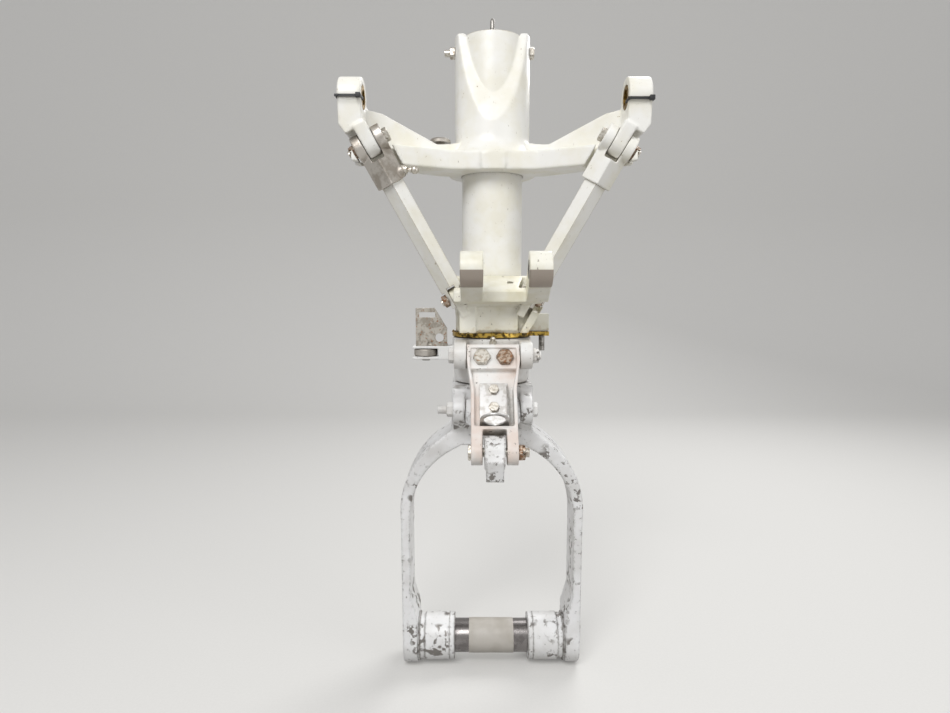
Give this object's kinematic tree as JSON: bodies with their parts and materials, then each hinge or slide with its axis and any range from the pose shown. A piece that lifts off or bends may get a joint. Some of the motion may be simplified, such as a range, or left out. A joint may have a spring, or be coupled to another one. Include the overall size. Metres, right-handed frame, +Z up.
{
  "type": "landing gear strut",
  "caption": "Steerable nose landing gear strut with trunnion arms, side braces, torque links and a wheel fork on an extending piston.",
  "frame": {"origin": "midpoint of the trunnion axis, between the two trunnion ears", "axes": "+X along the trunnion axis, -Y forward where the torque links are, +Z up along the strut"},
  "size_m": [0.318, 0.2116, 0.7715],
  "materials": {
    "cream_paint": "semi-gloss enamel with chips, grease marks and yellowed edges",
    "white_paint": "worn white enamel with chips to grey metal",
    "bare_alloy": "dull bare alloy with stains",
    "plated_steel": "dull plated steel with rust specks",
    "dark_steel": "dark oiled steel",
    "bushing_bronze": "dull bronze",
    "greased_bronze": "greasy bronze",
    "piston_chrome": "polished hard chrome"
  },
  "bodies": {
    "housing": {"air_valve": "plated_steel", "ball_stud": "plated_steel", "brace_bar_left": "cream_paint", "brace_bar_right": "cream_paint", "brace_bolt_left": "plated_steel", "brace_bolt_right": "plated_steel", "brace_clevis_left": "bare_alloy", "brace_clevis_right": "cream_paint", "brace_foot_bolt_left": "plated_steel", "brace_foot_bolt_right": "plated_steel", "brace_foot_nut_left": "plated_steel", "brace_foot_nut_right": "plated_steel", "brace_nut_left": "plated_steel", "brace_nut_right": "plated_steel", "cross_bolt": "plated_steel", "cross_bolt_nut": "plated_steel", "cylinder_cap": "cream_paint", "gland_nut": "white_paint", "lower_casting": "cream_paint", "lug_bushing_left": "bushing_bronze", "lug_bushing_right": "bushing_bronze", "side_port": "dark_steel", "stop_pin": "plated_steel", "stop_ring": "greased_bronze", "strut_cylinder": "cream_paint", "trunnion_bushing_left": "bushing_bronze", "trunnion_bushing_right": "bushing_bronze", "trunnion_casting": "cream_paint"},
    "roller": {"steering_roller": "dark_steel"},
    "lower_link": {"lower_torque_link": "white_paint"},
    "upper_link": {"apex_bolt": "plated_steel", "apex_nut": "plated_steel", "grease_fitting": "plated_steel", "link_clip": "dark_steel", "link_clip_screw_1": "plated_steel", "link_clip_screw_2": "plated_steel", "link_face_bolt_left": "plated_steel", "link_face_bolt_right": "plated_steel", "upper_torque_link": "white_paint"},
    "steering": {"bracket_screw_1": "plated_steel", "bracket_screw_2": "plated_steel", "roller_pin": "plated_steel", "steering_collar": "white_paint", "stop_bracket": "white_paint", "upper_pivot_bolt": "plated_steel", "upper_pivot_nut": "plated_steel"},
    "fork": {"axle_plug_left": "dark_steel", "axle_plug_right": "dark_steel", "axle_rod": "dark_steel", "axle_sleeve": "bare_alloy", "axle_spacer_left": "white_paint", "axle_spacer_right": "white_paint", "axle_tube": "dark_steel", "fork": "white_paint", "lower_pivot_bolt": "plated_steel", "lower_pivot_nut": "plated_steel", "piston_tube": "piston_chrome"}
  },
  "joints": [
    {"name": "steering_turn", "type": "hinge", "parent": "housing", "child": "steering", "pos_m": [0, 0.085, -0.269], "axis": [0, 0, 1], "range_deg": [-20, 20]},
    {"name": "oleo_slide", "type": "slide", "parent": "steering", "child": "fork", "axis": [0, 0, -1], "range_m": [0, 0.08]},
    {"name": "upper_link_swing", "type": "hinge", "parent": "steering", "child": "upper_link", "pos_m": [0, 0.023, -0.2694], "axis": [1, 0, 0], "range_deg": [0, 1.6]},
    {"name": "lower_link_swing", "type": "hinge", "parent": "fork", "child": "lower_link", "pos_m": [0, 0.035, -0.3322], "axis": [1, 0, 0], "range_deg": [-52.9, 0]},
    {"name": "roller_spin", "type": "hinge", "parent": "steering", "child": "roller", "pos_m": [-0.079, 0.085, -0.271], "axis": [0, 0, 1], "continuous": true}
  ],
  "couplings": [
    {"joint": "upper_link_swing", "follows": "oleo_slide", "rad_per_m": 0.33},
    {"joint": "lower_link_swing", "follows": "oleo_slide", "rad_per_m": -11.54}
  ]
}
